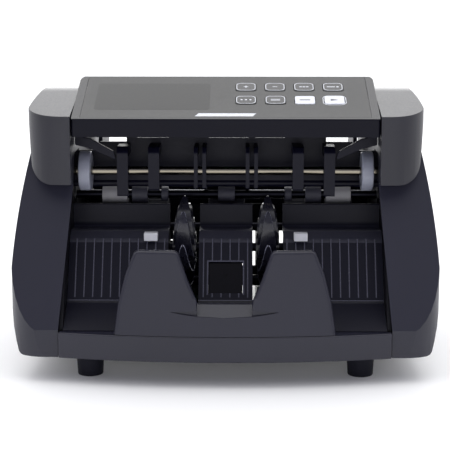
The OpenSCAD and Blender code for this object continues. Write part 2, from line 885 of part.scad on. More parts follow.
module main_board() {
    lift() {
        color("darkgreen") difference() {
            block([-48, 48], [8, 84], [board_z, board_z + 1.6]);
            for (x = [-40, 40], y = [16, 76]) translate([x, y, board_z - 1]) cylinder(d = 3, h = 4, $fn = 24);
        }
        color(black) {
            block([-14, 10], [34, 58], [board_z + 1.6, board_z + 4]);
            block([-40, -20], [24, 32], [board_z + 1.6, board_z + 9]);
            block([22, 32], [24, 66], [board_z + 1.6, board_z + 7]);
        }
        color("silver") for (x = [-34, -20]) translate([x, 64, board_z + 1.5]) cylinder(d = 10, h = 14, $fn = 32);
    }
}

module power_transformer() {
    lift() {
        color("gray") block([-98, -58], [36, 80], [pan_t, pan_t + 40]);
        color("orange") block([-94, -62], [31, 85], [pan_t + 8, pan_t + 32]);
    }
}

module power_inlet() {
    x = inlet_at[0];
    z = inlet_at[1];
    w = inlet_size[0];
    h = inlet_size[1];
    lift() color(black) difference() {
        union() {
            block([x - w / 2, x + w / 2], [rear_y - 20, rear_y], [z - h / 2, z + h / 2]);
            block([x - w / 2 - 3, x + w / 2 + 3], [rear_y, rear_y + rear_proud], [z - h / 2 - 3, z + h / 2 + 3]);
        }
        block([x - w / 2 + 2, x + w / 2 - 2], [rear_y - 16, rear_y + 2], [z - h / 2 + 2, z + h / 2 - 2]);
    }
    // Contact blades
    lift() color("silver") for (p = [[-7, 1], [0, -3], [7, 1]])
        block([x + p[0] - 1, x + p[0] + 1], [rear_y - 18, rear_y - 4], [z + p[1] - 2, z + p[1] + 2]);
}

// ---- rear cover, rocker and handle ----

module rear_cover() {
    half = frame_out;
    lift() color(charcoal) difference() {
        union() {
            block([-half, half], [rear_y - cover_wall, rear_y], [0, pod_bottom - seam]);
            // Lip over the back edge of the hopper floor
            block([-pod_in + 0.6, pod_in - 0.6], [rear_y - 6.4, rear_y], [rear_top - 2.5, rear_top]);
            block([-handle_recess[0] / 2 - 2, handle_recess[0] / 2 + 2], [rear_y - handle_recess[2] - 2, rear_y],
                [handle_z - handle_recess[1] + 6, handle_z + 8]);
        }
        block([-handle_recess[0] / 2, handle_recess[0] / 2], [rear_y - handle_recess[2], rear_y + 1],
            [handle_z - handle_recess[1] + 8, handle_z + 6]);
        rod_x([handle_pin_y, handle_z], 4 + 2 * press_fit, -handle_recess[0] / 2 - 3, handle_recess[0] / 2 + 3);
        block([inlet_at[0] - inlet_size[0] / 2 - 0.1, inlet_at[0] + inlet_size[0] / 2 + 0.1],
            [rear_y - 5, rear_y + 1],
            [inlet_at[1] - inlet_size[1] / 2 - 0.1, inlet_at[1] + inlet_size[1] / 2 + 0.1]);
        block([rocker_at[0] - rocker_size[0] / 2, rocker_at[0] + rocker_size[0] / 2], [rear_y - 5, rear_y + 1],
            [rocker_at[1] - rocker_size[1] / 2, rocker_at[1] + rocker_size[1] / 2]);
        for (x = [-post_x, post_x], z = [12, 84]) rod_y(x, z, screw_d + 2 * run_fit, rear_y - 5, rear_y + 1);
        for (i = [0:11]) block([-4 + i * 7.5, -1 + i * 7.5], [rear_y - 4, rear_y + 1], [16, 46]);
    }
}
handle_pin_y = rear_y - 6.5;

module rocker_outline() {
    polygon(rounded([[-3.4, -8.8, 1], [0.4, -8.8, 1], [-1.4, 0, 0], [1.2, 8.8, 1], [-3.4, 8.8, 1]]));
}

module power_rocker() {
    x = rocker_at[0];
    lift() color("darkred") translate([0, rear_y - 1.2, rocker_at[1]])
        along_x(x - rocker_size[0] / 2 + 0.4, x + rocker_size[0] / 2 - 0.4) rocker_outline();
}

module carry_handle() {
    r = handle_d / 2;
    y = handle_pin_y;
    lift() color(black) difference() {
        union() {
            rod_x([y, handle_z - handle_drop], handle_d, -handle_half + r, handle_half - r);
            both_sides() translate([handle_half - r, y, handle_z - handle_drop])
                cylinder(d = handle_d, h = handle_drop, $fn = 32);
            both_sides() translate([handle_half - r, y, handle_z - handle_drop]) sphere(d = handle_d, $fn = 32);
            both_sides() rod_x([y, handle_z], handle_d + 1, handle_half - handle_d, handle_half + 8);
        }
        rod_x([y, handle_z], 4 + 2 * run_fit, handle_half - 1, handle_half + 9);
        mirror([1, 0, 0]) rod_x([y, handle_z], 4 + 2 * run_fit, handle_half - 1, handle_half + 9);
    }
}

// Two pins carry the head, two the handle
module hinge_pins() {
    lift() color(steel) both_sides() {
        rod_x(hinge_at, hinge_d, head_half - 4.5, pod_in + cover_wall + 1.5);
        rod_x([handle_pin_y, handle_z], 4, handle_half, handle_recess[0] / 2 + 2);
    }
}

// ---- control head ----

module head_form(inset) {
    intersection() {
        translate([0, 0, head_bottom]) linear_extrude(60) polygon(rounded([
            [-head_half + inset, head_front_y + inset, 1.5],
            [head_half - inset, head_front_y + inset, 1.5],
            [head_half - inset, head_back_y - inset, 9 - inset],
            [-head_half + inset, head_back_y - inset, 9 - inset]]));
        along_x(-head_half, head_half) polygon(rounded([
            [head_front_y + inset, head_bottom - (inset > 0 ? 1 : 0), 0],
            [head_front_y + inset, head_edge - inset, 1.2],
            [head_back_y - inset, head_top - inset, 2.5],
            [head_back_y - inset, head_bottom - (inset > 0 ? 1 : 0), 0]]));
    }
}

module panel_head() {
    lift() color(black) difference() {
        union() {
            difference() {
                head_form(0);
                translate([0, 0, -1]) head_form(cover_wall);
            }
            // Hinge bosses, and posts under the key board
            both_sides() rod_x(hinge_at, hinge_d + 5, head_half - 5, head_half - 1);
            intersection() {
                head_form(0);
                on_panel() for (x = [-84, -2, 88], s = [12, 62])
                    translate([x - 2.5, s - 2.5, -8]) cube([5, 5, 8]);
            }
        }
        both_sides() rod_x(hinge_at, hinge_d + 2 * run_fit, head_half - 6, head_half + 1);
        // Recess of the membrane
        on_panel() block([-membrane_half - 0.1, membrane_half + 0.1],
            [membrane_s[0] - 0.1, membrane_s[1] + 0.1], [-membrane_t, 5]);
        on_panel() key_holes(key_fit);
        on_panel() block([-88.4, -11.6], [13.6, 56.4], [-9, 0]);
    }
}

module key_cap(grow, low, high) {
    translate([0, 0, low]) linear_extrude(high - low) polygon(rounded([
        [-key_w / 2 - grow, -key_l / 2 - grow, 1.8 + grow], [key_w / 2 + grow, -key_l / 2 - grow, 1.8 + grow],
        [key_w / 2 + grow, key_l / 2 + grow, 1.8 + grow], [-key_w / 2 - grow, key_l / 2 + grow, 1.8 + grow]], 4));
}

function key_place(i) = [key_first_x + key_pitch * (i % 4), key_rows[floor(i / 4)], 0];

module key_holes(grow) {
    for (i = [0:7]) translate(key_place(i)) key_cap(grow, -8, 3);
}

module panel_membrane() {
    lift() color([0.12, 0.12, 0.14]) on_panel() difference() {
        block([-membrane_half, membrane_half], membrane_s, [-membrane_t, 0]);
        key_holes(key_fit);
    }
}

module display_module() {
    lift() on_panel() {
        color([0.05, 0.08, 0.1]) block([-88, -12], [14, 56], [-5, -membrane_t - 0.1]);
        color("darkgreen") block([-90, -10], [16, 58], [-6.4, -5]);
    }
}

// Board under the keys, with one switch below each
module key_board() {
    lift() on_panel() {
        color("darkgreen") block([-4, 91], [10, 64], [-9.6, -8]);
        color("silver") for (i = [0:7]) translate(key_place(i)) translate([-3, -3, -8.05])
            cube([6, 6, 8.05 + key_proud - key_h - key_travel - 0.1]);
    }
}

module key(i) {
    lift() color(i > 5 ? "white" : black) on_panel() translate(key_place(i))
        key_cap(0, key_proud - key_h, key_proud);
}

// ---- hopper ----

guide_plate_x = 94;
guide_s = [26, 84];
guide_slot_s = [62, 68];

module hopper_floor() {
    slot_in = guide_plate_x - guide_travel - 1;
    length = (floor_back_y - floor_front_y) / cos(floor_lean);
    lift() color(black) on_floor() difference() {
        block([-pod_in + 0.6, pod_in - 0.6], [0, length], [-floor_t, 0]);
        // Slots of the pick-up rollers
        both_sides() block([pickup_x[0] - 2, pickup_x[1] + 2], [14, 44], [-9, 9]);
        // Slots of the note guides
        both_sides() block([slot_in, guide_plate_x + 5], guide_slot_s, [-9, 9]);
        // Anti-slip grooves
        for (x = [-18, -12, -6, 0, 6, 12, 18]) block([x - 0.6, x + 0.6], [8, length - 10], [-0.6, 1]);
    }
}

// Note guide: a thin upright wall on a foot, held through the slot by a clip
module hopper_guide() {
    x = guide_plate_x;
    slide_gap = 0.3;
    on_floor() {
        along_x(x, x + 3) polygon(rounded([
            [guide_s[0], slide_gap, 0], [guide_s[1], slide_gap, 0],
            [guide_s[1] - 6, 50, 8], [guide_s[0] + 12, 42, 10]]));
        block([x, x + 6], [guide_s[0] + 20, guide_s[1] - 2], [slide_gap, 3.3]);
        block([x, x + 4.5], [guide_slot_s[0] + 0.4, guide_slot_s[1] - 0.4], [-floor_t - 3, 1]);
        block([x - 2, x + 6.5], [guide_slot_s[0] - 4, guide_slot_s[1] + 4], [-floor_t - 3, -floor_t - slide_gap]);
    }
}

module hopper_guide_right() {
    lift() color("dimgray") hopper_guide();
}

module hopper_guide_left() {
    lift() color("dimgray") mirror([1, 0, 0]) hopper_guide();
}

module adjust_knob() {
    lift() color(black) translate([0, knob_y, 0]) difference() {
        union() {
            translate([0, 0, 116]) cylinder(d = 4, h = 12, $fn = 32);
            translate([0, 0, 127.3]) cylinder(d = 18, h = 9, $fn = 48);
        }
        for (a = [0:30:330]) rotate(a) translate([9.4, 0, 127]) cylinder(d = 2.4, h = 10, $fn = 16);
        translate([-7, -0.6, 135.8]) cube([14, 1.2, 2]);
    }
}

base_pan();
side_cover_left();
side_cover_right();
upper_cover_left();
upper_cover_right();
front_bumper();
stacker_tray();
stacker_stop();
sensor_window();
sensor_lenses();
rear_cover();
hopper_floor();
frame_plate_left();
frame_plate_right();
tie_bars();
guide_plate();
guide_levers();
friction_roller();
shaft_bushes();
feed_motor();
stacker_motor();
drive_belts();
main_board();
power_transformer();
power_inlet();
rubber_feet();
case_screws();
hinge_pins();
panel_head();
panel_membrane();
display_module();
key_board();
key(0);  // key_1
key(1);  // key_2
key(2);  // key_3
key(3);  // key_4
key(4);  // key_5
key(5);  // key_6
key(6);  // key_7
key(7);  // key_8
front_shaft();
front_wheels();
transport_shaft();
transport_rollers();
feed_shaft();
feed_rollers();
feed_pulleys();
pickup_shaft();
pickup_rollers();
pickup_pulley();
impeller_shaft();
impellers();
impeller_pulley();
feed_motor_pulley();
stacker_motor_pulley();
hopper_guide_left();
hopper_guide_right();
adjust_knob();
power_rocker();
carry_handle();
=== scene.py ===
import json
import math

import bmesh
import bpy
from mathutils import Matrix, Vector


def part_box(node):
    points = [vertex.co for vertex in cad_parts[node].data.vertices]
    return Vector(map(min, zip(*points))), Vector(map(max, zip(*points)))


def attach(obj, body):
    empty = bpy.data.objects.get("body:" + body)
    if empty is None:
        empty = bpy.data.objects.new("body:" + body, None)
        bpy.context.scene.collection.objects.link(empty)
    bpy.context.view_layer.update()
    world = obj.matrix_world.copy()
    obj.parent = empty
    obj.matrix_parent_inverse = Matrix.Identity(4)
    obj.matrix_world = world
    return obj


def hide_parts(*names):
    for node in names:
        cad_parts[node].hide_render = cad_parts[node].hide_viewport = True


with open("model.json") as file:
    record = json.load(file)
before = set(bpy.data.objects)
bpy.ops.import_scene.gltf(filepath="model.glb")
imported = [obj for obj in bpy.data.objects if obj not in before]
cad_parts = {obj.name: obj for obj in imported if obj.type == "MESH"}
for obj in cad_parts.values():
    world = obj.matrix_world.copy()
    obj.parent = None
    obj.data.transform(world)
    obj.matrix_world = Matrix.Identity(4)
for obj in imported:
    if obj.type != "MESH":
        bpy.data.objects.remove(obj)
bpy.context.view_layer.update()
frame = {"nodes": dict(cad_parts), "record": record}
print("frame loaded:", len(frame["nodes"]), "nodes")

millimetre = 0.001
nodeBody = {node: body for body, nodes in frame["record"]["behaviour"]["bodies"].items() for node in nodes}
nodeSlot = {part["node"]: part["material_slot"] for part in frame["record"]["subparts"]}


def mm(*values):
    return Vector([value * millimetre for value in values])


def hexLinear(code):
    channels = [int(code[i:i + 2], 16) / 255 for i in (0, 2, 4)]
    return (*[c / 12.92 if c < 0.04045 else ((c + 0.055) / 1.055) ** 2.4 for c in channels], 1.0)


def addNode(tree, kind, values=None, links=None, **settings):
    node = tree.nodes.new(kind)
    for key, value in settings.items():
        setattr(node, key, value)
    for key, value in (values or {}).items():
        node.inputs[key].default_value = value
    for key, socket in (links or {}).items():
        tree.links.new(socket, node.inputs[key])
    return node


# Materials. Each starts from the real material and how its surface was made.
# What the looks share: how rough the noise is, and the band of it that shifts the gloss

grainShape = {"detail": 2.0, "roughness": 0.55, "low": 0.3, "high": 0.7}
mottleShape = {"detail": 3.0, "roughness": 0.6}
coatRoughness = 0.05


def grainedMaterial(name, look):
    material = bpy.data.materials.new(name)
    material.use_nodes = True
    tree = material.node_tree
    tree.nodes.clear()
    place = addNode(tree, "ShaderNodeTexCoord").outputs["Object"]
    stretch = addNode(tree, "ShaderNodeMapping", {"Scale": look.get("stretch", (1, 1, 1))}, {"Vector": place})
    grain = addNode(tree, "ShaderNodeTexNoise",
                    {"Scale": 1 / (look["grain"] * millimetre),
                     "Detail": grainShape["detail"], "Roughness": grainShape["roughness"]},
                    {"Vector": stretch.outputs["Vector"]})
    mottle = addNode(tree, "ShaderNodeTexNoise",
                     {"Scale": 1 / (look["mottle"] * millimetre),
                      "Detail": mottleShape["detail"], "Roughness": mottleShape["roughness"]},
                     {"Vector": place})
    colour = addNode(tree, "ShaderNodeMix",
                     {6: hexLinear(look["colour"]), 7: hexLinear(look["worn"])},
                     {0: mottle.outputs["Fac"]}, data_type="RGBA")
    roughness = addNode(tree, "ShaderNodeMapRange",
                        {"From Min": grainShape["low"], "From Max": grainShape["high"],
                         "To Min": look["roughness"] - look["roughSpread"],
                         "To Max": look["roughness"] + look["roughSpread"]},
                        {"Value": grain.outputs["Fac"]})
    bump = addNode(tree, "ShaderNodeBump",
                   {"Strength": look["bump"], "Distance": look["bumpHeight"] * millimetre},
                   {"Height": grain.outputs["Fac"]})
    shader = addNode(tree, "ShaderNodeBsdfPrincipled",
                     {"Metallic": look.get("metallic", 0.0), "IOR": look.get("ior", 1.5),
                      "Specular IOR Level": look.get("specular", 0.5),
                      "Coat Weight": look.get("coat", 0.0), "Coat Roughness": coatRoughness},
                     {"Base Color": colour.outputs[2], "Roughness": roughness.outputs["Result"],
                      "Normal": bump.outputs["Normal"]})
    addNode(tree, "ShaderNodeOutputMaterial", links={"Surface": shader.outputs["BSDF"]})
    material.diffuse_color = hexLinear(look["colour"])
    return material


looks = {
    # Injection-moulded ABS from a spark-eroded tool: a fine even grain with a soft sheen.
    # The real grain is 0.15 mm; it is drawn at 0.9 mm so that it shows
    "abs, spark-eroded charcoal": dict(colour="171726", worn="1d1d2e", grain=0.9, mottle=60,
                                       roughness=0.42, roughSpread=0.05, bump=0.25, bumpHeight=0.05,
                                       ior=1.53),
    # The same grained ABS a shade deeper, for the upper covers
    "abs, spark-eroded deep charcoal": dict(colour="0d0d1a", worn="131322", grain=0.9, mottle=60,
                                            roughness=0.42, roughSpread=0.05, bump=0.25, bumpHeight=0.05,
                                            ior=1.53),
    # The head's shell has a soft-touch coat: very dark, with little gloss
    "abs, soft-touch black": dict(colour="070714", worn="0b0b19", grain=0.8, mottle=50, specular=0.16,
                                  roughness=0.4, roughSpread=0.04, bump=0.2, bumpHeight=0.03),
    # The head's rim is lapped smooth, so that it runs on into the overlay
    "abs, lapped rim": dict(colour="0b0b14", worn="10101a", grain=1.2, mottle=50, ior=1.53,
                            roughness=0.2, roughSpread=0.03, bump=0.05, bumpHeight=0.02),
    # Inner mouldings: matt black, low in gloss so that they throw no light on the notes
    "abs, matt inner black": dict(colour="070718", worn="0c0c1e", grain=1.6, mottle=40, specular=0.22,
                                  roughness=0.42, roughSpread=0.05, bump=0.12, bumpHeight=0.03),
    # Crests of ribs: glossier, and painted paler as a painted highlight along each crest
    "abs, note-polished": dict(colour="3a3a4a", worn="4c4c5c", grain=1.2, mottle=9, specular=0.6,
                               roughness=0.24, roughSpread=0.05, bump=0.05, bumpHeight=0.02),
    # The tray's rolled head, painted paler: a painted highlight on its upward faces
    "abs, scuffed ledge": dict(colour="242432", worn="30303e", grain=1.4, mottle=16, specular=0.4,
                               roughness=0.5, roughSpread=0.06, bump=0.15, bumpHeight=0.03),
    # Glossy polycarbonate overlay, printed from behind: a deep smooth mirror-like face
    "polycarbonate overlay, gloss": dict(colour="0b0b10", worn="0e0e13", grain=5.0, mottle=50,
                                         roughness=0.13, roughSpread=0.02, bump=0.03, bumpHeight=0.02,
                                         ior=1.54),
    # The tinted window of the display, bonded flush into the overlay
    "acrylic, tinted window": dict(colour="0a0b0e", worn="0d0e12", grain=5.0, mottle=60,
                                   roughness=0.06, roughSpread=0.01, bump=0.01, bumpHeight=0.01, ior=1.49),
    # Key caps, moulded ABS with a light matt
    "abs, matt key black": dict(colour="121219", worn="17171f", grain=0.6, mottle=12,
                                roughness=0.3, roughSpread=0.04, bump=0.12, bumpHeight=0.02),
    "abs, matt key white": dict(colour="dcdfe8", worn="e6e8f0", grain=0.6, mottle=12,
                                roughness=0.45, roughSpread=0.04, bump=0.1, bumpHeight=0.02),
    # Screen-printed inks: flat, with a slightly uneven film
    "screen ink, white": dict(colour="d6d9e2", worn="e6e8ee", grain=0.5, mottle=6,
                              roughness=0.55, roughSpread=0.05, bump=0.1, bumpHeight=0.01),
    "screen ink, dark": dict(colour="4a4a55", worn="5a5a64", grain=0.5, mottle=6,
                             roughness=0.55, roughSpread=0.05, bump=0.1, bumpHeight=0.01),
    # Centreless-ground steel shaft: bright, with fine rings round it
    "steel, ground": dict(colour="9c9585", worn="8a8476", grain=1.2, mottle=25, stretch=(6, 1, 1),
                          metallic=1.0, roughness=0.14, roughSpread=0.03, bump=0.06, bumpHeight=0.01),
    # Black-oxide steel of the inner shafts: a dark satin that still shows a metal's highlight
    "steel, black oxide": dict(colour="17171d", worn="222229", grain=1.2, mottle=20, stretch=(6, 1, 1),
                               metallic=1.0, roughness=0.34, roughSpread=0.06, bump=0.12, bumpHeight=0.01),
    # Pressed steel, black electro-coated: an even satin skin over faint rolling marks
    "steel, black e-coat": dict(colour="0a0a10", worn="101016", grain=1.4, mottle=50, stretch=(1, 1, 5),
                                specular=0.3, roughness=0.38, roughSpread=0.06, bump=0.1, bumpHeight=0.02),
    # Zinc-plated steel motor can: pale, slightly cloudy metal
    "steel, zinc plated": dict(colour="a9adb4", worn="8f949c", grain=1.0, mottle=8, metallic=1.0,
                               roughness=0.36, roughSpread=0.08, bump=0.1, bumpHeight=0.01),
    # Ground nitrile rubber: dull, with a fine nap
    "nitrile rubber, ground": dict(colour="14141f", worn="1d1d28", grain=0.7, mottle=9, specular=0.25,
                                   roughness=0.72, roughSpread=0.08, bump=0.4, bumpHeight=0.06),
    # Machined acetal, grey: waxy satin with turning marks
    "acetal, turned grey": dict(colour="8e91a0", worn="9a9daa", grain=0.8, mottle=14, stretch=(8, 1, 1),
                                roughness=0.4, roughSpread=0.05, bump=0.15, bumpHeight=0.02),
    "acetal, black": dict(colour="101015", worn="17171c", grain=0.9, mottle=12,
                          roughness=0.42, roughSpread=0.05, bump=0.1, bumpHeight=0.02),
    "acetal, white": dict(colour="dfe0e6", worn="e8e9ee", grain=0.9, mottle=12,
                          roughness=0.35, roughSpread=0.05, bump=0.05, bumpHeight=0.02),
    # The outer transport rollers, urethane painted pale: painted light, as if lit from above
    "urethane, cast cream": dict(colour="8f8e92", worn="a3a2a4", grain=0.9, mottle=7,
                                 roughness=0.5, roughSpread=0.06, bump=0.12, bumpHeight=0.03),
    # The inner transport rollers, the same urethane painted darker: painted shade
    "urethane, dusty grey": dict(colour="2c2c38", worn="3c3c48", grain=0.9, mottle=5,
                                 roughness=0.6, roughSpread=0.08, bump=0.2, bumpHeight=0.03),
    # Flexible thermoplastic polyurethane: smoky and waxy; the pale second look is a painted highlight on the
    # leaves' sideways faces
    "polyurethane, smoked": dict(colour="15151f", worn="1d1d29", grain=1.5, mottle=10,
                                 roughness=0.3, roughSpread=0.04, bump=0.08, bumpHeight=0.02, coat=0.3),
    "polyurethane, thin edge": dict(colour="8a8ca2", worn="a2a4b8", grain=1.5, mottle=6,
                                    roughness=0.3, roughSpread=0.04, bump=0.05, bumpHeight=0.02),
    # Epoxy-glass board under green solder mask
    "glass epoxy, solder mask": dict(colour="0b2a18", worn="103620", grain=0.8, mottle=18,
                                     roughness=0.35, roughSpread=0.05, bump=0.15, bumpHeight=0.02, coat=0.3),
    # Infrared-passing acrylic: near black and glossy
    "acrylic, infrared black": dict(colour="05040a", worn="08060d", grain=3.0, mottle=20, specular=0.2,
                                    roughness=0.12, roughSpread=0.02, bump=0.02, bumpHeight=0.01),
}
materials = {}
for name, look in looks.items():
    materials[name] = grainedMaterial(name.replace(", ", "-").replace(" ", "-"), look)
print("materials made:", len(materials))


# Pieces made from the design's own solids: merged, cleaned, edges broken and shaded smooth

# Edges that turn more than the angle in degrees are broken; flatter ones shade smooth
brokenEdge = {"segments": 2, "angle": 28, "faceWeight": 80}
mergeDistance = 0.002 * millimetre
flatAngle = math.radians(0.25)


def breakEdges(piece, width):
    bevel = piece.modifiers.new("edge", "BEVEL")
    bevel.width = width * millimetre
    bevel.segments = brokenEdge["segments"]
    bevel.limit_method = "ANGLE"
    bevel.angle_limit = math.radians(brokenEdge["angle"])
    bevel.miter_outer = "MITER_ARC"
    weigh = piece.modifiers.new("shade", "WEIGHTED_NORMAL")
    weigh.keep_sharp = True
    weigh.weight = brokenEdge["faceWeight"]


def addPiece(name, mesh):
    piece = bpy.data.objects.new(name, mesh)
    bpy.context.collection.objects.link(piece)
    return piece


# Walls with many openings keep their triangles, because one big face with holes folds over itself
keepTriangles = {"rear_cover"}


def solidCopy(node, name):
    mesh = frame["nodes"][node].data.copy()
    mesh.name = name
    mesh.materials.clear()
    work = bmesh.new()
    work.from_mesh(mesh)
    bmesh.ops.remove_doubles(work, verts=work.verts, dist=mergeDistance)
    if node not in keepTriangles:
        bmesh.ops.dissolve_limit(work, angle_limit=flatAngle, verts=work.verts, edges=work.edges)
    work.to_mesh(mesh)
    work.free()
    return addPiece(name, mesh)


def camel(node):
    head, *rest = node.split("_")
    return head + "".join(word.capitalize() for word in rest)


def shadeSmooth(mesh):
    for polygon in mesh.polygons:
        polygon.use_smooth = True
    mesh.set_sharp_from_angle(angle=math.radians(brokenEdge["angle"]))


# Accents are further materials, each with the rule that says which faces belong to it
def finishNode(node, materialName, edge, accents=(), prepare=None):
    piece = solidCopy(node, camel(node))
    piece.data.materials.append(materials[materialName])
    if prepare:
        prepare(piece.data)
    for index, (accentName, belongs) in enumerate(accents, 1):
        piece.data.materials.append(materials[accentName])
        for polygon in piece.data.polygons:
            if belongs(polygon.center / millimetre, polygon.normal):
                polygon.material_index = index
    shadeSmooth(piece.data)
    breakEdges(piece, edge)
    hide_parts(node)
    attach(piece, nodeBody[node])
    return piece


facingLimit = 0.8


# The biggest flat polygon of a solid that faces a given way, as its centre and normal
def mainFace(node, facing):
    mesh = pieces[node].data
    best = max((p for p in mesh.polygons if p.normal.dot(facing) > facingLimit), key=lambda p: p.area)
    return best.center.copy(), best.normal.copy()


# The stop's wings have a broad soft edge all round their front faces: a front face looks forward, and
# its edge counts where the next face looks sideways or lies above the shoulder
wingEdge = {"width": 2.2, "segments": 4, "lowest": 34.0, "forward": 0.85, "turn": 40, "sideways": 0.25,
            "shoulder": 80.0}


def softenWings(mesh):
    work = bmesh.new()
    work.from_mesh(mesh)
    chosen = []
    for edge in work.edges:
        if len(edge.link_faces) != 2 or min(v.co.z for v in edge.verts) < wingEdge["lowest"] * millimetre:
            continue
        fronts = [face.normal.y < -wingEdge["forward"] for face in edge.link_faces]
        if sum(fronts) == 1 and edge.calc_face_angle(0) > math.radians(wingEdge["turn"]):
            other = edge.link_faces[fronts.index(False)]
            height = other.calc_center_median().z / millimetre
            if abs(other.normal.x) > wingEdge["sideways"] or height > wingEdge["shoulder"]:
                chosen.append(edge)
    bmesh.ops.bevel(work, geom=chosen, offset=wingEdge["width"] * millimetre, offset_type="OFFSET",
                    segments=wingEdge["segments"], profile=0.5, affect="EDGES", clamp_overlap=False)
    work.to_mesh(mesh)
    work.free()


# The panel leans back, so its overlay, keys and rim face this way
panelUp = Vector((0, -0.345, 0.939))
rimLimit = 0.99


def isRim(centre, normal):
    return normal.dot(panelUp) > rimLimit


# The ribbed face leans back; a rib's crest faces the same way and stands clear of the face
ribbedFace = {"normal": Vector((0, -0.889, 0.457)), "foot": Vector((0, -76.5, 50)),
              "parallel": 0.995, "crest": 0.64}


# Faces on a rib's crest take the paler material, a painted highlight
def isRibCrest(centre, normal):
    out = ribbedFace["normal"]
    height = (centre - ribbedFace["foot"]).dot(out)
    return normal.dot(out) > ribbedFace["parallel"] and height > ribbedFace["crest"]


# The tray's head rolls over from the face to the ledge, between two heights and in front of a depth
rolledHead = {"low": 80, "high": 93, "back": -34, "up": 0.5, "forward": 0.02}


# The rolled head's upward faces take the paler material, a painted highlight
def isRolledHead(centre, normal):
    inside = rolledHead["low"] < centre.z < rolledHead["high"] and centre.y < rolledHead["back"]
    return inside and normal.z > rolledHead["up"] and normal.y < rolledHead["forward"]


# Outside its hub, a leaf of a stacker wheel is painted pale on the faces that look sideways, as a painted
# highlight
leaf = {"hubRadius": 11.5, "sideways": 0.12}
joints = {joint["name"]: joint for joint in frame["record"]["behaviour"]["joints"]}
wheelAxis = Vector(joints["impeller_spin"]["pos_m"]) / millimetre


def isLeafHighlight(centre, normal):
    reach = (centre - wheelAxis).yz.length
    return abs(normal.x) > leaf["sideways"] and reach > leaf["hubRadius"]


# The transport rollers nearer the middle than this are painted darker, as painted shade
innerRollers = 68


def isInnerRoller(centre, normal):
    return abs(centre.x) < innerRollers


blackKeys = range(1, 7)
whiteKeys = (7, 8)
# Edge radii in millimetres, as a toolmaker breaks them
finishes = {
    "abs, spark-eroded charcoal": dict(side_cover_left=0.7, side_cover_right=0.7,
                                       front_bumper=0.7, rear_cover=0.4),
    "abs, spark-eroded deep charcoal": dict(upper_cover_left=0.6, upper_cover_right=0.6),
    "abs, matt inner black": dict(base_pan=0.3, hopper_floor=0.3, guide_plate=0.25, guide_levers=0.3,
                                  power_inlet=0.4, adjust_knob=0.25, carry_handle=0.5,
                                  hopper_guide_left=0.4, hopper_guide_right=0.4),
    "polycarbonate overlay, gloss": dict(panel_membrane=0.2, display_module=0.2),
    "acrylic, infrared black": dict(sensor_window=0.2, power_rocker=0.5),
    "steel, black e-coat": dict(frame_plate_left=0.2, frame_plate_right=0.2),
    "steel, ground": dict(hinge_pins=0.3, front_shaft=0.4),
    "steel, black oxide": dict(tie_bars=0.3, case_screws=0.15, transport_shaft=0.4, feed_shaft=0.4,
                               pickup_shaft=0.4, impeller_shaft=0.4),
    "steel, zinc plated": dict(feed_motor=0.8, stacker_motor=0.8, power_transformer=0.4),
    "nitrile rubber, ground": dict(friction_roller=0.4, drive_belts=0.2, rubber_feet=0.8,
                                   feed_rollers=0.6, pickup_rollers=0.5),
    "acetal, turned grey": dict(front_wheels=0.7, feed_pulleys=0.2, pickup_pulley=0.2, impeller_pulley=0.2,
                                feed_motor_pulley=0.2, stacker_motor_pulley=0.2),
    "acetal, black": dict(shaft_bushes=0.15),
    "acetal, white": dict(sensor_lenses=0.4),
    "glass epoxy, solder mask": dict(key_board=0.1, main_board=0.1),
    "abs, matt key black": {f"key_{number}": 0.3 for number in blackKeys},
    "abs, matt key white": {f"key_{number}": 0.3 for number in whiteKeys},
}
pieces = {}
for materialName, nodes in finishes.items():
    for node, edge in nodes.items():
        pieces[node] = finishNode(node, materialName, edge)
pieces["stacker_stop"] = finishNode("stacker_stop", "abs, spark-eroded charcoal", 0.3, prepare=softenWings)
pieces["panel_head"] = finishNode("panel_head", "abs, soft-touch black", 0.5,
                                  accents=[("abs, lapped rim", isRim)])
pieces["stacker_tray"] = finishNode("stacker_tray", "abs, matt inner black", 0.2,
                                    accents=[("abs, note-polished", isRibCrest),
                                             ("abs, scuffed ledge", isRolledHead)])
pieces["impellers"] = finishNode("impellers", "polyurethane, smoked", 0.15,
                                 accents=[("polyurethane, thin edge", isLeafHighlight)])
pieces["transport_rollers"] = finishNode("transport_rollers", "urethane, cast cream", 0.4,
                                         accents=[("urethane, dusty grey", isInnerRoller)])
print("solids finished:", len(pieces))


# Ribs round the rollers and end wheels, laid by a node tree and made plain before they ride.
# Each ring is fitted to its solid's box. The friction roller's box takes in its axle, so its ribs run past
# the rubber, and the pick-up rollers' boxes are short by their flats, so their ribs are part sunk

ringSides = 96
ribSink = 0.3   # how far a rib's middle lies under the tread
ribMargin = 0.8   # bare tread at each end of a rib
treads = {
    "feed_rollers": {"count": 72, "rib": 1.1, "proud": 0.25, "material": "nitrile rubber, ground"},
    "pickup_rollers": {"count": 44, "rib": 1.1, "proud": 0.25, "material": "nitrile rubber, ground"},
    "friction_roller": {"count": 26, "rib": 0.9, "proud": 0.2, "material": "nitrile rubber, ground"},
    "front_wheels": {"count": 60, "rib": 0.5, "proud": 0.12, "material": "acetal, turned grey"},
}


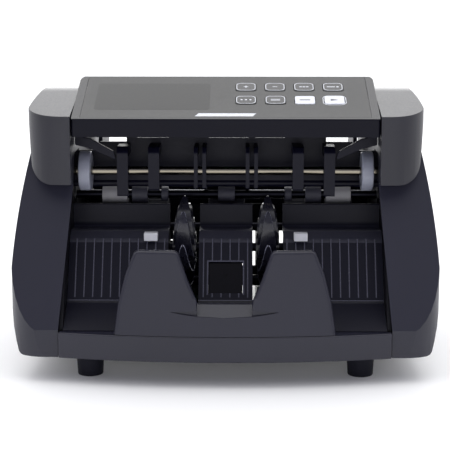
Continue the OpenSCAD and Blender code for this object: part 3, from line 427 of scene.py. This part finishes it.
def treadTree():
    tree = bpy.data.node_groups.new("rollerTread", "GeometryNodeTree")
    for label, kind in (("Count", "NodeSocketInt"), ("Radius", "NodeSocketFloat"),
                        ("Rib", "NodeSocketVector"), ("Rubber", "NodeSocketMaterial")):
        tree.interface.new_socket(label, in_out="INPUT", socket_type=kind)
    tree.interface.new_socket("Geometry", in_out="OUTPUT", socket_type="NodeSocketGeometry")
    given = addNode(tree, "NodeGroupInput").outputs
    ring = addNode(tree, "GeometryNodeCurvePrimitiveCircle", {"Resolution": ringSides},
                   {"Radius": given["Radius"]})
    spots = addNode(tree, "GeometryNodeCurveToPoints",
                    links={"Curve": ring.outputs["Curve"], "Count": given["Count"]}, mode="COUNT")
    rib = addNode(tree, "GeometryNodeMeshCube", links={"Size": given["Rib"]})
    laid = addNode(tree, "GeometryNodeInstanceOnPoints",
                   links={"Points": spots.outputs["Points"], "Instance": rib.outputs["Mesh"],
                          "Rotation": spots.outputs["Rotation"]})
    real = addNode(tree, "GeometryNodeRealizeInstances", links={"Geometry": laid.outputs["Instances"]})
    coated = addNode(tree, "GeometryNodeSetMaterial",
                     links={"Geometry": real.outputs["Geometry"], "Material": given["Rubber"]})
    addNode(tree, "NodeGroupOutput", links={"Geometry": coated.outputs["Geometry"]})
    return tree


# The separate solids of a node, each as its lowest and highest corner, from left to right so that every
# run lays them in the same order
def islands(node):
    work = bmesh.new()
    work.from_mesh(frame["nodes"][node].data)
    bmesh.ops.remove_doubles(work, verts=work.verts, dist=mergeDistance)
    left, boxes = set(work.verts), []
    while left:
        group, queue = set(), [left.pop()]
        while queue:
            vert = queue.pop()
            group.add(vert)
            for edge in vert.link_edges:
                other = edge.other_vert(vert)
                if other in left:
                    left.remove(other)
                    queue.append(other)
        points = [v.co for v in group]
        boxes.append([Vector([pick(p[i] for p in points) for i in range(3)]) for pick in (min, max)])
    work.free()
    return sorted(boxes, key=lambda corners: corners[0].x)


treadGroup = treadTree()
treadInputs = [item for item in treadGroup.interface.items_tree if item.in_out == "INPUT"]
sockets = {item.name: item.identifier for item in treadInputs}


def treadRing(low, high, look):
    radius = (high.z - low.z) / 2
    thick = 2 * (ribSink + look["proud"])
    holder = addPiece("tread", bpy.data.meshes.new("tread"))
    modifier = holder.modifiers.new("tread", "NODES")
    modifier.node_group = treadGroup
    modifier[sockets["Count"]] = look["count"]
    modifier[sockets["Radius"]] = radius - ribSink * millimetre
    modifier[sockets["Rib"]] = (thick * millimetre, high.x - low.x - 2 * ribMargin * millimetre,
                                look["rib"] * millimetre)
    modifier[sockets["Rubber"]] = materials[look["material"]]
    made = bpy.data.meshes.new_from_object(holder.evaluated_get(bpy.context.evaluated_depsgraph_get()))
    holder.modifiers.remove(modifier)
    bpy.data.objects.remove(holder)
    middle = (low + high) / 2
    made.transform(Matrix.Translation(middle) @ Matrix.Rotation(math.radians(90), 4, "Y"))
    return made


def joined(meshes, name):
    work = bmesh.new()
    for mesh in meshes:
        work.from_mesh(mesh)
    whole = bpy.data.meshes.new(name)
    work.to_mesh(whole)
    work.free()
    return whole


for node, look in treads.items():
    rings = [treadRing(low, high, look) for low, high in islands(node)]
    mesh = joined(rings, camel(node) + "Tread")
    mesh.materials.append(materials[look["material"]])
    piece = addPiece(mesh.name, mesh)
    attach(piece, nodeBody[node])
print("treads laid:", len(treads))


# Control panel: prints on the overlay and the key caps

panelPrints = {
    "outline": {"width": 13.2, "length": 12.0, "radius": 3.4, "line": 0.5},
    "halo": {"width": 16.0, "length": 15.0, "radius": 4.2, "line": 0.5},
    "bar": {"width": 41.0, "height": 4.6, "slant": 2.4, "above": 6.2},
    "window": {"width": 78.0, "length": 42.0, "radius": 2.0},
    "film": 0.04,
}


def faceFrame(centre, normal):
    across = Vector((1, 0, 0))
    up = normal.cross(across).normalized()
    return Matrix((
        (across.x, up.x, normal.x, centre.x),
        (across.y, up.y, normal.y, centre.y),
        (across.z, up.z, normal.z, centre.z),
        (0, 0, 0, 1)))


def roundRect(width, length, radius, steps=6):
    points = []
    for quarter, (sx, sy) in enumerate([(1, 1), (-1, 1), (-1, -1), (1, -1)]):
        cx, cy = sx * (width / 2 - radius), sy * (length / 2 - radius)
        for step in range(steps + 1):
            turn = math.radians(90 * quarter + 90 * step / steps)
            points.append((cx + radius * math.cos(turn), cy + radius * math.sin(turn)))
    return points


# A closed thin film from an outer outline, with an inner outline cut out where one is given
def addFilm(work, outer, inner, place, film):
    count = len(outer)
    rings = []
    for height in (0.0, film):
        rings.append([work.verts.new(place @ mm(x, y, height)) for x, y in outer])
        rings.append([work.verts.new(place @ mm(x, y, height)) for x, y in inner] if inner else None)
    lowOut, lowIn, topOut, topIn = rings
    for i in range(count):
        j = (i + 1) % count
        work.faces.new((lowOut[i], lowOut[j], topOut[j], topOut[i]))
        if inner:
            work.faces.new((lowIn[j], lowIn[i], topIn[i], topIn[j]))
            work.faces.new((topOut[i], topOut[j], topIn[j], topIn[i]))
            work.faces.new((lowOut[j], lowOut[i], lowIn[i], lowIn[j]))
    if not inner:
        work.faces.new(topOut)
        work.faces.new(list(reversed(lowOut)))


def filmPiece(name, shapes, materialName, body):
    work = bmesh.new()
    for outer, inner, place in shapes:
        addFilm(work, outer, inner, place, panelPrints["film"])
    bmesh.ops.recalc_face_normals(work, faces=work.faces)
    mesh = bpy.data.meshes.new(name)
    work.to_mesh(mesh)
    work.free()
    mesh.materials.append(materials[materialName])
    piece = addPiece(name, mesh)
    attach(piece, body)
    return piece


def outlineRing(settings):
    line = settings["line"]
    outer = roundRect(settings["width"], settings["length"], settings["radius"])
    inner = roundRect(settings["width"] - 2 * line, settings["length"] - 2 * line, settings["radius"] - line)
    return outer, inner


def box(x0, y0, x1, y1):
    return [(x0, y0), (x1, y0), (x1, y1), (x0, y1)]


discSides = 16


def disc(x, y, radius):
    turns = [2 * math.pi * side / discSides for side in range(discSides)]
    return [(x + radius * math.cos(turn), y + radius * math.sin(turn)) for turn in turns]


# Plain signs in place of words: plus, minus, bars, dots, triangles
keySigns = {
    1: [box(-1.6, -0.35, 1.6, 0.35), box(-0.35, 0.35, 0.35, 1.6), box(-0.35, -1.6, 0.35, -0.35)],
    2: [box(-1.6, -0.35, 1.6, 0.35)],
    3: [box(-3.2, -0.6, -1.4, 0.6), box(-0.9, -0.6, 0.9, 0.6), box(1.4, -0.6, 3.2, 0.6)],
    4: [box(-4.2, -0.5, 1.4, 0.5), disc(3.2, 0, 0.9)],
    5: [disc(-3.0, 0, 0.8), disc(0, 0, 0.8), disc(3.0, 0, 0.8)],
    6: [box(-3.2, 0.4, 3.2, 1.1), box(-3.2, -1.1, 3.2, -0.4)],
    7: [box(-3.6, -0.6, 3.6, 0.6)],
    8: [[(-2.6, -1.5), (2.6, 0), (-2.6, 1.5)]],
}
# Pale ink takes the white keys' slot, and dark ink the black keys'
paleSlot, darkSlot = nodeSlot["key_7"], nodeSlot["key_1"]
for number, signs in keySigns.items():
    node = f"key_{number}"
    place = faceFrame(*mainFace(node, panelUp))
    marks = [(sign, None, place) for sign in signs]
    ink, slot = "screen ink, dark", darkSlot
    if number in blackKeys:
        marks.append((*outlineRing(panelPrints["outline"]), place))
        ink, slot = "screen ink, white", paleSlot
    filmPiece(f"key{number}Print", marks, ink, nodeBody[node])

overlayCentre, overlayNormal = mainFace("panel_membrane", panelUp)
overlayPlace = faceFrame(overlayCentre, overlayNormal)
toOverlay = overlayPlace.inverted()
frontEdge = min((toOverlay @ v.co).y for v in pieces["panel_membrane"].data.vertices) / millimetre
overlayX = -overlayCentre.x / millimetre
bar = panelPrints["bar"]
barY = frontEdge + bar["above"] - bar["height"] / 2
half, rise, slant = bar["width"] / 2, bar["height"], bar["slant"]
barShape = [(overlayX - half, barY - rise / 2), (overlayX + half - slant, barY - rise / 2),
            (overlayX + half, barY + rise / 2), (overlayX - half + slant, barY + rise / 2)]
haloCentre = toOverlay @ mainFace("key_8", panelUp)[0] / millimetre
haloPlace = overlayPlace @ Matrix.Translation(mm(haloCentre.x, haloCentre.y, 0))
filmPiece("overlayPrint", [(barShape, None, overlayPlace), (*outlineRing(panelPrints["halo"]), haloPlace)],
          "screen ink, white", "control_head")

# The display's window is bonded flush into the overlay, over the module behind it
moduleLow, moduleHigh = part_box("display_module")
moduleAt = toOverlay @ ((moduleLow + moduleHigh) / 2)
window = panelPrints["window"]
windowPlace = overlayPlace @ Matrix.Translation((moduleAt.x, moduleAt.y, 0))
windowShape = roundRect(window["width"], window["length"], window["radius"])
filmPiece("displayWindow", [(windowShape, None, windowPlace)],
          "acrylic, tinted window", "control_head")
print("prints made:", len(keySigns) + 1)


# Stage, light and camera

camera = {
    "target": (0.0, 0.0, 0.087),
    "distance": 1.0,
    "azimuth": 0.75,
    "elevation": 10.0,
    "lens": 110.24,
    "shiftX": -0.0042,
    "sensor": 36.0,
    "clipEnd": 120.0,
}
# The light falls from above and behind; the side behind the camera is dim and a little blue
studio = {
    "bright": 1.5,
    "dim": 0.32,
    "dimColour": "8589bd",
    "lift": 0.35,
    "slope": (0.0, 0.6, 0.6),
    "horizon": 1.8,
    "glowBand": (0.72, 0.97),
}
paper = {"half": 60.0, "colour": "fbfbfc", "roughness": 0.9, "specular": 0.1, "glow": 0.06}
lamps = {
    "overhead": {"place": (0.0, 0.35, 1.5), "aim": (0, 0, 0.1), "size": (1.8, 1.4), "power": 6.0},
    "frontFill": {"place": (0.0, -1.9, 0.45), "aim": (0, 0, 0.0), "size": (2.4, 0.7), "power": 5.0},
}


def makeCamera(settings):
    azimuth = math.radians(settings["azimuth"])
    elevation = math.radians(settings["elevation"])
    target = Vector(settings["target"])
    back = Vector((math.sin(azimuth) * math.cos(elevation), -math.cos(azimuth) * math.cos(elevation),
                   math.sin(elevation)))
    data = bpy.data.cameras.new("camera")
    data.lens = settings["lens"]
    data.sensor_width = settings["sensor"]
    data.shift_x = settings["shiftX"]
    data.clip_end = settings["clipEnd"]
    holder = bpy.data.objects.new("camera", data)
    holder.location = target + back * settings["distance"]
    holder.rotation_euler = (-back).to_track_quat("-Z", "Y").to_euler()
    bpy.context.collection.objects.link(holder)
    bpy.context.scene.camera = holder


def areaLight(name, place, aim, size, power):
    data = bpy.data.lights.new(name, "AREA")
    data.shape = "RECTANGLE"
    data.size, data.size_y = size
    data.energy = power
    lamp = bpy.data.objects.new(name, data)
    lamp.location = place
    lamp.rotation_euler = (Vector(aim) - Vector(place)).to_track_quat("-Z", "Y").to_euler()
    bpy.context.collection.objects.link(lamp)


def makeSky(settings):
    world = bpy.data.worlds.new("studioWhite")
    world.use_nodes = True
    tree = world.node_tree
    tree.nodes.clear()
    way = addNode(tree, "ShaderNodeTexCoord").outputs["Generated"]
    slope = addNode(tree, "ShaderNodeVectorMath", {1: settings["slope"]}, {0: way}, operation="DOT_PRODUCT")
    reach = addNode(tree, "ShaderNodeMapRange",
                    {"From Min": -settings["lift"], "From Max": 1 - settings["lift"]},
                    {"Value": slope.outputs["Value"]}, interpolation_type="SMOOTHSTEP")
    dim = [c * settings["dim"] for c in hexLinear(settings["dimColour"])[:3]]
    sky = addNode(tree, "ShaderNodeMix", {6: (*dim, 1.0), 7: (*[settings["bright"]] * 3, 1.0)},
                  {0: reach.outputs["Result"]}, data_type="RGBA")
    low, high = settings["glowBand"]
    behind = addNode(tree, "ShaderNodeVectorMath", {1: (0.0, 1.0, 0.0)}, {0: way}, operation="DOT_PRODUCT")
    glow = addNode(tree, "ShaderNodeMapRange",
                   {"From Min": low, "From Max": high, "To Min": 1.0, "To Max": 1.0 + settings["horizon"]},
                   {"Value": behind.outputs["Value"]}, interpolation_type="SMOOTHSTEP")
    shade = addNode(tree, "ShaderNodeBackground",
                    links={"Color": sky.outputs[2], "Strength": glow.outputs["Result"]})
    addNode(tree, "ShaderNodeOutputWorld", links={"Surface": shade.outputs["Background"]})
    bpy.context.scene.world = world


def makeFloor(settings):
    half = settings["half"]
    mesh = bpy.data.meshes.new("floor")
    corners = [(-half, -half, 0), (half, -half, 0), (half, half, 0), (-half, half, 0)]
    mesh.from_pydata(corners, [], [(0, 1, 2, 3)])
    material = bpy.data.materials.new("paper-white-seamless")
    material.use_nodes = True
    inputs = material.node_tree.nodes["Principled BSDF"].inputs
    inputs["Base Color"].default_value = hexLinear(settings["colour"])
    inputs["Roughness"].default_value = settings["roughness"]
    inputs["Specular IOR Level"].default_value = settings["specular"]
    inputs["Emission Color"].default_value = (1.0, 1.0, 1.0, 1.0)
    inputs["Emission Strength"].default_value = settings["glow"]
    mesh.materials.append(material)
    addPiece("floor", mesh)


makeCamera(camera)
makeSky(studio)
makeFloor(paper)
for name, lamp in lamps.items():
    areaLight(name, lamp["place"], lamp["aim"], lamp["size"], lamp["power"])
bpy.context.scene.view_settings.view_transform = "Standard"
print("studio set")
